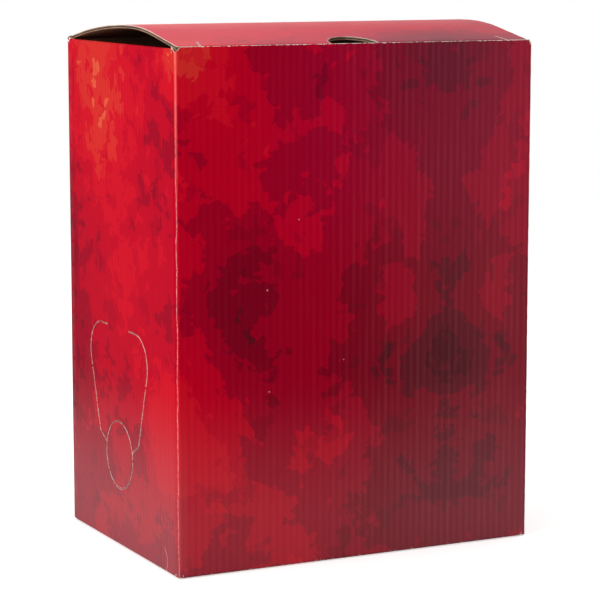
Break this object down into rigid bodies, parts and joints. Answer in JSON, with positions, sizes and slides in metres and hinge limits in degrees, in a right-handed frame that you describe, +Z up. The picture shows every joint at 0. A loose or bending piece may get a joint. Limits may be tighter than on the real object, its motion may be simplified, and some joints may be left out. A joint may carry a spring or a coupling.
{
  "type": "bag-in-box carton",
  "caption": "Tall folded board carton with a bowed tuck-in lid, thumb notch, slit locks and a press-in tap port, for a liquid bag.",
  "frame": {"origin": "middle of the base, on the surface the carton stands on", "axes": "+Z up, +X along the wide front wall to the right, +Y from the front wall with the thumb notch to the lid's hinge"},
  "size_m": [0.189, 0.134, 0.2539],
  "materials": {
    "printed_board": "fluted board, printed in mottled reds, satin varnish outside",
    "raw_board": "bare brown liner and cut fluted edges"
  },
  "bodies": {
    "carton": {"carton": "printed_board"},
    "lid": {"lid": "printed_board"}
  },
  "joints": [
    {"name": "lid_hinge", "type": "hinge", "parent": "carton", "child": "lid", "pos_m": [0, 0.06625, 0.2456], "axis": [-1, 0, 0], "range_deg": [0, 180]}
  ]
}
